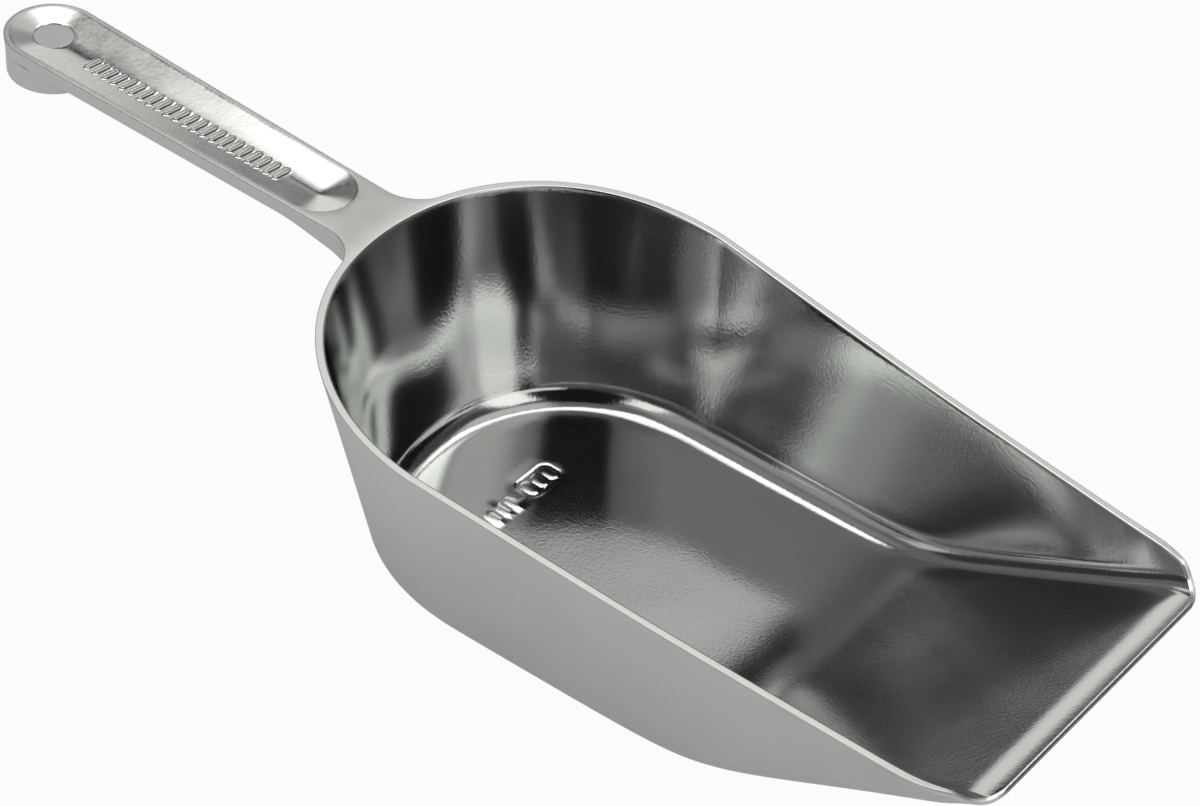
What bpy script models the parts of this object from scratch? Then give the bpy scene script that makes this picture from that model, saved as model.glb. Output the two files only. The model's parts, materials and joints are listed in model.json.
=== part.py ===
"""Ice scoop: an open cast-aluminium bowl with a ramped front lip, a flat
dished grip flush with the bowl's ground rim, and a round boss under its end.

Frame: +X runs to the front lip, the grip points to -X, +Z is up.  The origin
is on the flat underside of the bowl's floor, below the centre of the round
back of the rim.  Units are metres.
"""
import bpy
import bmesh
import math
from mathutils import Matrix, Vector

# ---------------------------------------------------------------- dimensions
GAP = 0.0003                 # clearance between touching pieces
WALL = 0.0020                # thickness of floor and walls

# rim, seen from above (outer edge)
RIM_HALF = 0.0582            # half width where the round back meets the sides
RIM_REACH = 0.0565           # how far the round back reaches behind x = 0
RIM_POWER = 2.07             # superellipse exponent of the round back
LIP_X = 0.14325              # front lip
LIP_HALF = 0.04827           # half width the sides run in to at the lip
CORNER_R = 0.01365           # rounding of the two front corners
# rim, seen from the side (heights above the inner floor)
RIM_HEIGHT = 0.05013         # at x = 0
RIM_SLOPE_BACK = 0.1303
RIM_SLOPE_FRONT = 0.0932
RIM_BEND_X = 0.0603
RIM_BEND_SOFT = 0.0093
LIP_CLEAR = 0.0362           # height of the trim over the lip itself

# inner floor, seen from above (sharp corner of floor and wall)
FLOOR_CX = 0.0074
FLOOR_HALF = 0.0455
FLOOR_REACH = 0.0473
FLOOR_POWER = 2.21
FLOOR_FRONT_HALF = 0.0424
FLOOR_BOW = 0.00085          # the floor's sides bow outwards by this much
# inner floor, seen from the side
RAMP_X = 0.0724              # the flat floor turns up into the ramp here
RAMP_SLOPE = 0.5026
RAMP_SOFT = 0.0062
FILLET_BACK = 0.0070         # floor-to-wall fillet radius
FILLET_FRONT = 0.0052

# grip
GRIP_LENGTH = 0.1062         # rim's back to the centre of the round end
GRIP_HALF_NECK = 0.0101
GRIP_HALF_END = 0.01215
GRIP_RISE = 0.0497           # its top rises backwards by this slope
GRIP_DEPTH = 0.0040
NECK_FLARE_R = 0.0105        # concave fillet between grip and rim, from above
NECK_EXTRA = 0.0030          # the neck is this much deeper at the bowl
NECK_RUN = 0.024             # length over which it gets deeper
DISH_X = -0.0762             # centre of the dish's round front end
DISH_R_NECK = 0.0092
DISH_R_END = 0.0110
DISH_DEPTH = 0.0016
PAD_R = 0.0050               # round flat pad in the dish
PAD_DROP = 0.0011            # its face below the grip's top
PAD_THICK = 0.0014

# boss under the end of the grip
BOSS_R = 0.0123
BOSS_DEPTH = 0.0107          # its flat underside below the grip's top
BOSS_EDGE = 0.0010

END_X = -RIM_REACH - GRIP_LENGTH


# ------------------------------------------------------------------- helpers
def soft(x, start, width):
    """A ramp of slope 1 that starts smoothly at start."""
    return width * math.log1p(math.exp((x - start) / width))


def floor_height(x):
    """Top of the floor: flat, then a straight ramp to the lip."""
    return WALL + RAMP_SLOPE * soft(x, RAMP_X, RAMP_SOFT)


def rim_height(x):
    """The ground rim falls towards the lip in two nearly equal slopes."""
    turn = soft(x, RIM_BEND_X, RIM_BEND_SOFT) - soft(0, RIM_BEND_X, RIM_BEND_SOFT)
    return (WALL + RIM_HEIGHT - RIM_SLOPE_BACK * x
            - (RIM_SLOPE_FRONT - RIM_SLOPE_BACK) * turn)


def top_height(x):
    """Top line of lip, rim and grip together, seen from the side."""
    if x < -RIM_REACH:
        return rim_height(-RIM_REACH) + GRIP_RISE * (-RIM_REACH - x)
    return max(rim_height(x), WALL + LIP_CLEAR)


def under_height(x):
    """Underside of the grip, deeper where it grows out of the bowl."""
    s = min(max((x - (-RIM_REACH - NECK_RUN)) / NECK_RUN, 0.0), 1.0)
    return top_height(x) - GRIP_DEPTH - NECK_EXTRA * s * s * (3 - 2 * s)


def round_back(angle, reach, half, power):
    """Point of a superellipse quarter; angle 0 is the side, 90 the back."""
    c, s = abs(math.sin(angle)), abs(math.cos(angle))
    return Vector((-reach * c ** (2 / power), half * s ** (2 / power)))


def rim_side(x):
    return Vector((x, RIM_HALF + (LIP_HALF - RIM_HALF) * x / LIP_X))


class Station:
    """One section of the wall: floor corner, rim point and outward normal."""

    def __init__(self, corner, rim, normal):
        self.corner, self.n = corner, normal.normalized()
        inner = rim - self.n * WALL
        z0 = floor_height(corner.x)
        rise = max(top_height(rim.x) - z0, 0.0070)
        run = (inner - corner).dot(self.n)
        self.lean = math.atan2(rise, run)
        share = min(max(corner.x / LIP_X, 0), 1)
        self.r = FILLET_BACK + (FILLET_FRONT - FILLET_BACK) * share
        self.t = self.r / math.tan((math.pi - self.lean) / 2)
        self.z0 = z0
        self.top = Vector((inner.x, inner.y, z0 + rise))

    def at(self, out, up):
        p = self.corner + self.n * out
        return Vector((p.x, p.y, self.z0 + up))

    def wall_foot(self):
        return self.at(self.t * math.cos(self.lean), self.t * math.sin(self.lean))

    def section(self, steps, extra):
        """Inner skin from the floor through the fillet to above the rim."""
        pts = []
        for i in range(steps):
            a = self.lean * i / steps
            pts.append(self.at(-self.t + self.r * math.sin(a), self.r * (1 - math.cos(a))))
        foot = self.wall_foot()
        pts.append(foot)
        along = (self.top - foot).normalized()
        pts.append(self.top + along * extra)
        return pts

    def wall_at(self, z, offset):
        """Point of the wall's outer face, moved out by offset, at height z."""
        foot = self.wall_foot()
        along = self.top - foot
        p = foot + along * ((z - foot.z) / along.z)
        q = self.n * ((WALL + offset) / math.sin(self.lean))
        return Vector((p.x + q.x, p.y + q.y, z))


def side_station(x):
    """Section at floor position x on the long side."""
    run = LIP_X - FLOOR_CX
    slope = (FLOOR_FRONT_HALF - FLOOR_HALF) / run
    bow = FLOOR_BOW * 4 * (x - FLOOR_CX) * (LIP_X - x) / LIP_X ** 2
    corner = Vector((x, FLOOR_HALF + slope * (x - FLOOR_CX) + bow))
    return Station(corner, rim_side((x - FLOOR_CX) / run * LIP_X), Vector((-slope, 1)))


def back_station(angle):
    """Section at an angle round the back."""
    e = 1e-4
    corner = round_back(angle, FLOOR_REACH, FLOOR_HALF, FLOOR_POWER) + Vector((FLOOR_CX, 0))
    a = min(max(angle, e), math.pi / 2 - e)
    d = (round_back(a + e, FLOOR_REACH, FLOOR_HALF, FLOOR_POWER)
         - round_back(a - e, FLOOR_REACH, FLOOR_HALF, FLOOR_POWER))
    normal = Vector((d.y, -d.x))
    if angle <= 0:
        normal = Vector((0, 1))
    if angle >= math.pi / 2:
        normal = Vector((-1, 0))
    return Station(corner, round_back(angle, RIM_REACH, RIM_HALF, RIM_POWER), normal)


def link(name, mesh, collection):
    obj = bpy.data.objects.new(name, mesh)
    collection.objects.link(obj)
    return obj


def mesh_object(name, bm, collection):
    mesh = bpy.data.meshes.new(name)
    bm.normal_update()
    bm.to_mesh(mesh)
    bm.free()
    return link(name, mesh, collection)


def plate(name, outline, half_thickness, matrix, collection):
    """A flat outline given thickness, as a closed mesh."""
    curve = bpy.data.curves.new(name, 'CURVE')
    curve.dimensions = '2D'
    curve.fill_mode = 'BOTH'
    curve.extrude = half_thickness
    spline = curve.splines.new('POLY')
    spline.points.add(len(outline) - 1)
    for point, (x, y) in zip(spline.points, outline):
        point.co = (x, y, 0, 1)
    spline.use_cyclic_u = True
    source = link(name + '_curve', curve, collection)
    graph = bpy.context.evaluated_depsgraph_get()
    mesh = bpy.data.meshes.new_from_object(source.evaluated_get(graph))
    bpy.data.objects.remove(source)
    bm = bmesh.new()
    bm.from_mesh(mesh)
    bmesh.ops.remove_doubles(bm, verts=bm.verts, dist=1e-7)
    bmesh.ops.recalc_face_normals(bm, faces=bm.faces)
    bm.to_mesh(mesh)
    bm.free()
    obj = link(name, mesh, collection)
    obj.matrix_world = matrix
    return obj


SIDEWAYS = Matrix.Rotation(math.radians(90), 4, 'X')     # local XY becomes XZ


def boolean(obj, cutter, operation='DIFFERENCE'):
    mod = obj.modifiers.new(operation.lower() + '_' + cutter.name, 'BOOLEAN')
    mod.operation = operation
    mod.solver = 'EXACT'
    mod.object = cutter
    return mod


def as_cutter(obj):
    obj.hide_render = True
    obj.display_type = 'WIRE'
    return obj


def metal(name, colour, roughness):
    mat = bpy.data.materials.new(name)
    mat.use_nodes = True
    bsdf = mat.node_tree.nodes['Principled BSDF']
    bsdf.inputs['Base Color'].default_value = (*colour, 1)
    bsdf.inputs['Metallic'].default_value = 1.0
    bsdf.inputs['Roughness'].default_value = roughness
    mat.diffuse_color = (*colour, 1)
    return mat


def smooth(obj, angle=30):
    obj.data.shade_smooth()
    obj.data.set_sharp_from_angle(angle=math.radians(angle))


# ---------------------------------------------------------------------- scene
for old in list(bpy.data.objects):
    bpy.data.objects.remove(old, do_unlink=True)

scoop = bpy.data.collections.new('ice_scoop')
tools = bpy.data.collections.new('cutters')
bpy.context.scene.collection.children.link(scoop)
bpy.context.scene.collection.children.link(tools)

polished = metal('polished_aluminium', (0.80, 0.81, 0.80), 0.18)
satin = metal('satin_aluminium', (0.86, 0.86, 0.85), 0.38)
cast = metal('cast_aluminium', (0.78, 0.78, 0.77), 0.45)
matte = metal('matte_aluminium', (0.74, 0.74, 0.74), 0.55)

# ---------------------------------------------------------- shared trim tools
# one side profile grinds the rim and the top of the grip flush
line = [(x * 0.001, top_height(x * 0.001)) for x in
        (-200, -56.5, -40, 0, 30, 45, 55, 65, 75, 95, 125, 129, 175)]
top_trim = as_cutter(plate('top_trim', line + [(0.175, 0.11), (-0.2, 0.11)],
                           0.08, SIDEWAYS, tools))

# the plan outline of the lip: straight across with two rounded corners
y1 = rim_side(LIP_X - CORNER_R).y
corner = []
for i in range(9):
    a = math.radians(90 * i / 8)
    corner.append((LIP_X - CORNER_R + CORNER_R * math.sin(a),
                   y1 - CORNER_R + CORNER_R * math.cos(a)))
x1 = LIP_X - CORNER_R
notch = [(0.120, 0.060), (x1, 0.060)] + corner
notch += [(x, -y) for x, y in reversed(notch)]
front_trim = as_cutter(plate('front_trim', [(0.120, -0.08), (0.175, -0.08), (0.175, 0.08),
                                            (0.120, 0.08)] + notch,
                             0.035, Matrix.Translation((0, 0, 0.045)), tools))

# ----------------------------------------------------------------------- bowl
sides = [side_station(x * 0.001) for x in
         (147, 145, 143, 141, 139, 136.5, 134, 131.5, 129, 126, 120, 110, 100, 92, 86, 81, 77, 73.5, 70, 66, 61, 54, 44, 26)]
backs = [back_station(math.radians(a)) for a in
         (0, 8, 16, 24, 32, 40, 48, 56, 64, 71, 77, 82, 86, 90)]
STEPS = 5

bm = bmesh.new()
rows = [[bm.verts.new(p) for p in s.section(STEPS, 0.004)] for s in sides + backs]
for a, b in zip(rows, rows[1:]):
    for i in range(len(a) - 1):
        bm.faces.new((a[i], b[i], b[i + 1], a[i + 1]))
middle = [bm.verts.new((r[0].co.x, 0, r[0].co.z)) for r in rows[:len(sides) + 1]]
for i in range(len(middle) - 1):
    bm.faces.new((middle[i], middle[i + 1], rows[i + 1][0], rows[i][0]))
bm.faces.new([middle[-1]] + [r[0] for r in reversed(rows[len(sides):])])
for v in bm.verts:
    if abs(v.co.y) < 1e-6:
        v.co.y = 0
bmesh.ops.recalc_face_normals(bm, faces=bm.faces)
bm.normal_update()
flat = max(bm.faces, key=lambda f: f.calc_area())
if flat.normal.z < 0:
    bmesh.ops.reverse_faces(bm, faces=bm.faces)
bowl = mesh_object('bowl', bm, scoop)
bowl.data.materials.append(polished)
mirror = bowl.modifiers.new('mirror', 'MIRROR')
mirror.use_axis = (False, True, False)
mirror.merge_threshold = 0.00001
shell = bowl.modifiers.new('shell', 'SOLIDIFY')
shell.thickness = WALL
shell.offset = -1
shell.use_even_offset = True
shell.use_quality_normals = True
boolean(bowl, top_trim)
boolean(bowl, front_trim)
smooth(bowl)

# ---------------------------------------------------------------------- grip
# the bowl's outer face, moved out by the gap, as a solid that trims the neck
z_low, z_high = 0.030, 0.075
ring = []
quarter = [back_station(math.radians(a)) for a in
           (0, 8, 16, 24, 32, 40, 48, 56, 64, 71, 77, 82, 86, 90)]
for s in quarter:
    ring.append((s, 1))
for s in reversed(quarter[:-1]):
    ring.append((s, -1))
bm = bmesh.new()
loops = []
for z in (z_low, z_high):
    loop = []
    for s, side in ring:
        p = s.wall_at(z, GAP)
        loop.append(bm.verts.new((p.x, p.y * side, p.z)))
    loops.append(loop)
n = len(ring)
for i in range(n):
    j = (i + 1) % n
    bm.faces.new((loops[0][i], loops[0][j], loops[1][j], loops[1][i]))
bm.faces.new(loops[0])
bm.faces.new(loops[1])
bmesh.ops.recalc_face_normals(bm, faces=bm.faces)
clearance = as_cutter(mesh_object('bowl_clearance', bm, tools))

# plan outline: back arc just inside the rim, concave flare, long side, end
taper = (GRIP_HALF_END - GRIP_HALF_NECK) / GRIP_LENGTH


def side_line(x):
    return GRIP_HALF_NECK + taper * (-RIM_REACH - x)


def flare():
    """Circle tangent to the outside of the rim and to the grip's side."""
    best = None
    for i in range(1, 900):
        angle = math.radians(90) * i / 900
        e = 1e-4
        p = round_back(angle, RIM_REACH, RIM_HALF, RIM_POWER)
        d = (round_back(angle + e, RIM_REACH, RIM_HALF, RIM_POWER)
             - round_back(angle - e, RIM_REACH, RIM_HALF, RIM_POWER))
        nrm = Vector((d.y, -d.x)).normalized()
        c = p + nrm * NECK_FLARE_R
        miss = abs((c.y - side_line(c.x)) / math.hypot(1, taper) - NECK_FLARE_R)
        if best is None or miss < best[0]:
            best = (miss, angle, c, nrm)
    return best[1:]


rim_angle, centre, nrm = flare()
start = math.atan2(-nrm.y, -nrm.x) % math.tau
stop = math.atan2(-1, -taper) % math.tau
half = []
for i in range(8):
    a = math.radians(90) + (rim_angle - math.radians(90)) * i / 8
    p = round_back(a, RIM_REACH - 0.0009, RIM_HALF - 0.0009, RIM_POWER)
    half.append((p.x, p.y))
for i in range(9):
    a = start + (stop - start) * i / 8
    half.append((centre.x + NECK_FLARE_R * math.cos(a), centre.y + NECK_FLARE_R * math.sin(a)))
for i in range(13):
    a = math.radians(90 + 90 * i / 12)
    half.append((END_X + GRIP_HALF_END * math.cos(a), GRIP_HALF_END * math.sin(a)))
outline = half + [(x, -y) for x, y in reversed(half[1:-1])]
handle = plate('handle', outline, 0.020, Matrix.Translation((0, 0, 0.058)), scoop)
handle.data.transform(handle.matrix_world)
handle.matrix_world = Matrix.Identity(4)
handle.data.materials.clear()
handle.data.materials.append(satin)

under = [(x * 0.001, under_height(x * 0.001)) for x in
         (-200, -80.5, -76, -72, -68, -64, -60, -56.5, -30)]
under_trim = as_cutter(plate('under_trim', under + [(-0.030, 0.02), (-0.2, 0.02)],
                             0.08, SIDEWAYS, tools))

# dish: a shallow trough with round ends that falls to a line along the middle
bm = bmesh.new()
edge = []
for i in range(13):
    a = math.radians(90 - 180 * i / 12)
    edge.append((DISH_X + DISH_R_NECK * math.cos(a), DISH_R_NECK * math.sin(a), 0))
for i in range(13):
    a = math.radians(270 - 180 * i / 12)
    edge.append((END_X + DISH_R_END * math.cos(a), DISH_R_END * math.sin(a), 1))
low = [bm.verts.new((x, y, top_height(x))) for x, y, k in edge]
high = [bm.verts.new((x, y, top_height(x) + 0.004)) for x, y, k in edge]
keel = [bm.verts.new((x, 0, top_height(x) - DISH_DEPTH)) for x in (DISH_X, END_X)]
n = len(edge)
for i in range(n):
    j = (i + 1) % n
    bm.faces.new((low[i], low[j], high[j], high[i]))
    if edge[i][2] == edge[j][2]:
        bm.faces.new((low[i], keel[edge[i][2]], low[j]))
    else:
        bm.faces.new((low[i], keel[edge[i][2]], keel[edge[j][2]], low[j]))
bm.faces.new(high)
bmesh.ops.recalc_face_normals(bm, faces=bm.faces)
dish = as_cutter(mesh_object('dish', bm, tools))

tilt = math.atan(GRIP_RISE)
lean = Matrix.Rotation(tilt, 4, 'Y')


def disc(name, radius, depth, centre_z, collection, segments=32):
    bm = bmesh.new()
    bmesh.ops.create_cone(bm, cap_ends=True, segments=segments, radius1=radius,
                          radius2=radius, depth=depth)
    obj = mesh_object(name, bm, collection)
    obj.location = (END_X, 0, centre_z)
    return obj


end_top = top_height(END_X)
recess_floor = PAD_DROP + PAD_THICK + GAP
recess = as_cutter(disc('pad_recess', PAD_R + GAP, recess_floor + 0.002,
                        end_top - recess_floor / 2 + 0.001, tools))
recess.rotation_euler = (0, tilt, 0)

for cutter in (top_trim, under_trim, clearance, dish, recess):
    boolean(handle, cutter)
smooth(handle)

# ------------------------------------------------------------- pad in the dish
pad = disc('end_pad', PAD_R, PAD_THICK, end_top - PAD_DROP - PAD_THICK / 2, scoop)
pad.rotation_euler = (0, tilt, 0)
pad.data.materials.append(matte)
bevel = pad.modifiers.new('edge', 'BEVEL')
bevel.width = 0.0002
bevel.segments = 1
bevel.limit_method = 'ANGLE'
smooth(pad)

# ------------------------------------------------------------------- end boss
boss_low = end_top - BOSS_DEPTH
boss = disc('end_boss', BOSS_R, 0.012, boss_low + 0.006, scoop, segments=48)
boss.data.materials.append(cast)
bevel = boss.modifiers.new('edge', 'BEVEL')
bevel.width = BOSS_EDGE
bevel.segments = 3
bevel.limit_method = 'ANGLE'
seat = [(x * 0.001, under_height(x * 0.001) - GAP) for x in (-190, -130)]
boss_trim = as_cutter(plate('boss_trim', seat + [(-0.130, 0.09), (-0.190, 0.09)],
                            0.03, SIDEWAYS, tools))
boolean(boss, boss_trim)
smooth(boss)
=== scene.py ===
import bpy
import bmesh
import json
import math
import numpy as np
from mathutils import Matrix, Vector
from mathutils.geometry import delaunay_2d_cdt

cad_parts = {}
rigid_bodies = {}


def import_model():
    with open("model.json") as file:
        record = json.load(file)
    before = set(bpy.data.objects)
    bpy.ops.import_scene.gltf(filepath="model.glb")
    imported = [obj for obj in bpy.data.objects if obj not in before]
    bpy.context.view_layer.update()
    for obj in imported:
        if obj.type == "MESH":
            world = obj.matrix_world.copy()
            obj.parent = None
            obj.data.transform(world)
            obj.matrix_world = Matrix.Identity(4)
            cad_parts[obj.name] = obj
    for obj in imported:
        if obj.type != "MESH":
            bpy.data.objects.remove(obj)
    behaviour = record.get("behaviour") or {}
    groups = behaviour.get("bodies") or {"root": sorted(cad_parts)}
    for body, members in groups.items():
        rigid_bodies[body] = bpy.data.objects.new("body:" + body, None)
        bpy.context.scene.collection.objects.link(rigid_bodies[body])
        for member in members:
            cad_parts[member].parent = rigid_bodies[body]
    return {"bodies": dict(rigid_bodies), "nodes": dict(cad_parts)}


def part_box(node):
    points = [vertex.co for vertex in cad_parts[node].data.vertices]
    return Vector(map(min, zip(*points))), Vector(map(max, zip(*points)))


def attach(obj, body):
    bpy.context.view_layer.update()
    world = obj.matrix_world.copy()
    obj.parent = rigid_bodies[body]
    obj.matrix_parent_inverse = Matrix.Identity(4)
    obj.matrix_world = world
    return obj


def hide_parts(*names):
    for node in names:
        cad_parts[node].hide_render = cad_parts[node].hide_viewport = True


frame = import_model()

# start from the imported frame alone
keep = set(frame["nodes"].values()) | set(frame["bodies"].values())
for old in list(bpy.data.objects):
    if old not in keep:
        bpy.data.objects.remove(old, do_unlink=True)
bpy.context.view_layer.update()

# ------------------------------------------------------------ frame positions
bowl_low, bowl_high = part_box("bowl")
grip_low, grip_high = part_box("handle")
boss_low, boss_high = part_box("end_boss")
pad_low, pad_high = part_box("end_pad")

MM = 0.001
WALL = 2.0 * MM
LIP_X = bowl_high.x                       # front lip
RIM_REACH = -bowl_low.x - 0.065 * MM      # round back
RIM_HALF = bowl_high.y - 0.05 * MM
LIP_HALF = RIM_HALF - 9.93 * MM
RIM_POWER = 2.07
RIM_HEIGHT = 50.13 * MM
SLOPE_BACK, SLOPE_FRONT = 0.1303, 0.0932
BEND_X, BEND_SOFT = 60.3 * MM, 9.3 * MM
LIP_CLEAR = 36.2 * MM

FLOOR_CX = 7.4 * MM
FLOOR_HALF = 45.5 * MM
FLOOR_REACH = 47.3 * MM
FLOOR_POWER = 2.21
FLOOR_FRONT_HALF = 42.4 * MM
FLOOR_BOW = 0.85 * MM
RAMP_X, RAMP_SLOPE, RAMP_SOFT = 72.4 * MM, 0.5026, 6.2 * MM
FILLET_BACK, FILLET_FRONT = 7.0 * MM, 5.2 * MM

END_HALF = (boss_high.y - boss_low.y) / 2 - 0.15 * MM
END_X = (boss_low.x + boss_high.x) / 2
NECK_HALF = 10.1 * MM
GRIP_RISE = 0.0497
GRIP_DEPTH = 4.0 * MM
FLARE_R = 10.5 * MM
NECK_EXTRA, NECK_RUN = 3.0 * MM, 24 * MM

CORNER_X = LIP_X - 17.75 * MM             # the sides start to turn in here
CORNER_DROP = 12.3 * MM                   # and have come in by this at the lip
LIP_LAND = 1.15 * MM                      # thin edge of the lip
ROLL, ROLL_DROP = 8.2 * MM, 1.45 * MM     # the lip's top rolls over near the edge

DISH_X = -76.2 * MM
DISH_R0, DISH_R1 = 9.2 * MM, 11.0 * MM
DISH_DEPTH = 1.6 * MM
PAD_R = (pad_high.y - pad_low.y) / 2
PAD_DROP = 1.1 * MM


def soft(x, start, width):
    t = (x - start) / width
    return width * (t if t > 40 else math.log1p(math.exp(t)))


def smooth(t):
    t = min(max(t, 0.0), 1.0)
    return t * t * (3 - 2 * t)


def lerp(a, b, t):
    return a + (b - a) * t


def roll(x):
    """How far the lip's top has rolled down at x."""
    t = min(max(1 - (LIP_X - x) / ROLL, 0.0), 1.0)
    return ROLL_DROP * t ** 2.1


def floor_height(x):
    return WALL + RAMP_SLOPE * soft(x, RAMP_X, RAMP_SOFT) - roll(x)


def rim_height(x):
    turn = soft(x, BEND_X, BEND_SOFT) - soft(0, BEND_X, BEND_SOFT)
    return WALL + RIM_HEIGHT - SLOPE_BACK * x - (SLOPE_FRONT - SLOPE_BACK) * turn


RIM_BACK_Z = rim_height(-RIM_REACH)


def top_height(x):
    """Ground top plane of rim, neck and grip."""
    u = -RIM_REACH - x
    if u > -8 * MM:
        return RIM_BACK_Z + SLOPE_BACK * u - (SLOPE_BACK - GRIP_RISE) * soft(u, 0, 0.7 * MM)
    a, b = rim_height(x), WALL + LIP_CLEAR
    k = 0.25 * MM
    return b + k * math.log1p(math.exp(min((a - b) / k, 60))) if (a - b) / k < 60 else a


def under_depth(x):
    return GRIP_DEPTH + NECK_EXTRA * smooth((x - (-RIM_REACH - NECK_RUN)) / NECK_RUN)


def round_back(angle, reach, half, power):
    c, s = abs(math.sin(angle)), abs(math.cos(angle))
    return Vector((-reach * c ** (2 / power), half * s ** (2 / power)))


def rim_side(x):
    return RIM_HALF + (LIP_HALF - RIM_HALF) * x / LIP_X


# ------------------------------------------------- the bowl's inner skin P(u,s)
# u: -1 at the back centre, 0 where the round back meets the side, 1 at the lip
# s: 0 floor centre, 1 floor tangent, 2 wall foot, 3 above the rim
class Row:
    def __init__(self, u, x=None):
        self.u = u
        if u < 0:
            a = -u * math.pi / 2
            e = 1e-4
            corner = round_back(a, FLOOR_REACH, FLOOR_HALF, FLOOR_POWER)
            self.corner = corner + Vector((FLOOR_CX, 0))
            b = min(max(a, e), math.pi / 2 - e)
            d = (round_back(b + e, FLOOR_REACH, FLOOR_HALF, FLOOR_POWER)
                 - round_back(b - e, FLOOR_REACH, FLOOR_HALF, FLOOR_POWER))
            self.n = Vector((d.y, -d.x)).normalized()
            if a >= math.pi / 2 - 1e-9:
                self.n = Vector((-1, 0))
            rim = round_back(a, RIM_REACH, RIM_HALF, RIM_POWER)
            d = (round_back(b + e, RIM_REACH, RIM_HALF, RIM_POWER)
                 - round_back(b - e, RIM_REACH, RIM_HALF, RIM_POWER))
            self.rn = Vector((d.y, -d.x)).normalized()
            if a >= math.pi / 2 - 1e-9:
                self.rn = Vector((-1, 0))
            self.centre = Vector((FLOOR_CX, 0))
        else:
            x = FLOOR_CX + u * (LIP_X - FLOOR_CX) if x is None else x
            run = LIP_X - FLOOR_CX
            slope = (FLOOR_FRONT_HALF - FLOOR_HALF) / run
            bow = FLOOR_BOW * 4 * (x - FLOOR_CX) * (LIP_X - x) / LIP_X ** 2
            self.corner = Vector((x, FLOOR_HALF + slope * (x - FLOOR_CX) + bow))
            self.n = Vector((0, 1))
            self.rn = Vector((0.0695, 1)).normalized() if u > 0 else Vector((0, 1))
            shift = FLOOR_CX * (1 - min((x - FLOOR_CX) / (112 * MM), 1)) ** 2
            rim = Vector((x - shift, rim_side(x - shift)))
            self.centre = Vector((x, 0))
        inner = rim - self.rn * WALL
        inner.x = inner.x if u < 0 else rim.x
        self.rim = rim
        z0 = floor_height(self.corner.x)
        rise = top_height(rim.x) - z0
        k = 1.2 * MM
        rise = 7 * MM + soft(rise, 7 * MM, k)
        run = (inner - self.corner).dot(self.n)
        self.lean = math.atan2(rise, run)
        share = min(max(self.corner.x / LIP_X, 0), 1)
        self.r = FILLET_BACK + (FILLET_FRONT - FILLET_BACK) * share
        self.t = self.r / math.tan((math.pi - self.lean) / 2)
        self.z0 = z0
        self.top = Vector((inner.x, inner.y, z0 + rise))
        self.foot = self.at(self.t * math.cos(self.lean), self.t * math.sin(self.lean))
        d = self.top - self.foot
        self.over = self.top + d * (6 * MM / d.z)

    def at(self, out, up):
        p = self.corner + self.n * out
        return Vector((p.x, p.y, self.z0 + up))

    def point(self, s):
        if s < 1:
            p = lerp(self.centre, self.corner - self.n * self.t, s)
            return Vector((p.x, p.y, self.z0))
        if s < 2:
            a = self.lean * (s - 1)
            return self.at(-self.t + self.r * math.sin(a), self.r * (1 - math.cos(a)))
        return lerp(self.foot, self.over, s - 2)


def make_row(u, x=None):
    row = Row(u, x)
    e = 2e-3 if u < -1e-9 else 5e-4
    if u <= -1 + 1e-9:
        row.near = (Row(u + e), None)
    elif -1e-9 < u and x is None:
        row.near = (Row(u + e), Row(u))
    elif x is not None:
        row.near = (Row(u, x + 0.05 * MM), Row(u, x - 0.05 * MM))
    else:
        row.near = (Row(min(u + e, 0)), Row(u - e))
    return row


def normal(row, s):
    """Unit normal of the inner skin, pointing into the bowl."""
    e = 1e-3
    if s < 1:
        ds = Vector((row.n.x, row.n.y, 0))
    elif s < 2:
        ds = row.point(min(s + e, 2)) - row.point(max(s - e, 1))
    else:
        ds = row.over - row.foot
    ahead, behind = row.near
    if behind is None:
        q = ahead.point(s)
        du = Vector((0, q.y, 0))
    else:
        du = ahead.point(s) - behind.point(s)
    n = ds.cross(du).normalized()
    return -n if n.z < 0 else n


def thickness(x):
    return WALL - 0.75 * MM * smooth((x - (LIP_X - 12 * MM)) / (11 * MM))


def outer(row, s):
    p = row.point(s)
    return p - normal(row, s) * thickness(p.x)


def cut(row, fn, test, low=1.0, high=3.0):
    """Profile parameter at which test(point) turns positive."""
    steps = 64
    a = low
    for i in range(1, steps + 1):
        b = low + (high - low) * i / steps
        if test(fn(row, b)) > 0:
            for _ in range(30):
                m = (a + b) / 2
                if test(fn(row, m)) > 0:
                    b = m
                else:
                    a = m
            return (a + b) / 2
        a = b
    return high


def inner(row, s):
    return row.point(s)


# -------------------------------------------------------------- plan outlines
def corner_outer(phi):
    """Front corner of the outer outline; phi 0 on the side, 90 at the lip."""
    x = CORNER_X + (LIP_X - CORNER_X) * math.sin(phi)
    return Vector((x, rim_side(x) - CORNER_DROP * (1 - math.cos(phi))))


def corner_normal(phi):
    e = 1e-3
    d = corner_outer(min(phi + e, math.pi / 2)) - corner_outer(max(phi - e, 0))
    if phi <= 1e-6:
        d = Vector((1, (LIP_HALF - RIM_HALF) / LIP_X))
    if phi >= math.pi / 2 - 1e-6:
        return Vector((1, 0))
    return Vector((-d.y, d.x)).normalized()


def outline_y(x):
    """Outer outline as y over x for the front part."""
    if x <= CORNER_X:
        return rim_side(x)
    phi = math.asin(min((x - CORNER_X) / (LIP_X - CORNER_X), 1))
    return corner_outer(phi).y


# ------------------------------------------------------------------ row chains
NF, NA, NW = 14, 10, 20          # floor, fillet, wall
R_IN, R_OUT, R_LOW = 0.40 * MM, 0.34 * MM, 0.40 * MM
NE = 5                           # edge rounding


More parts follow.
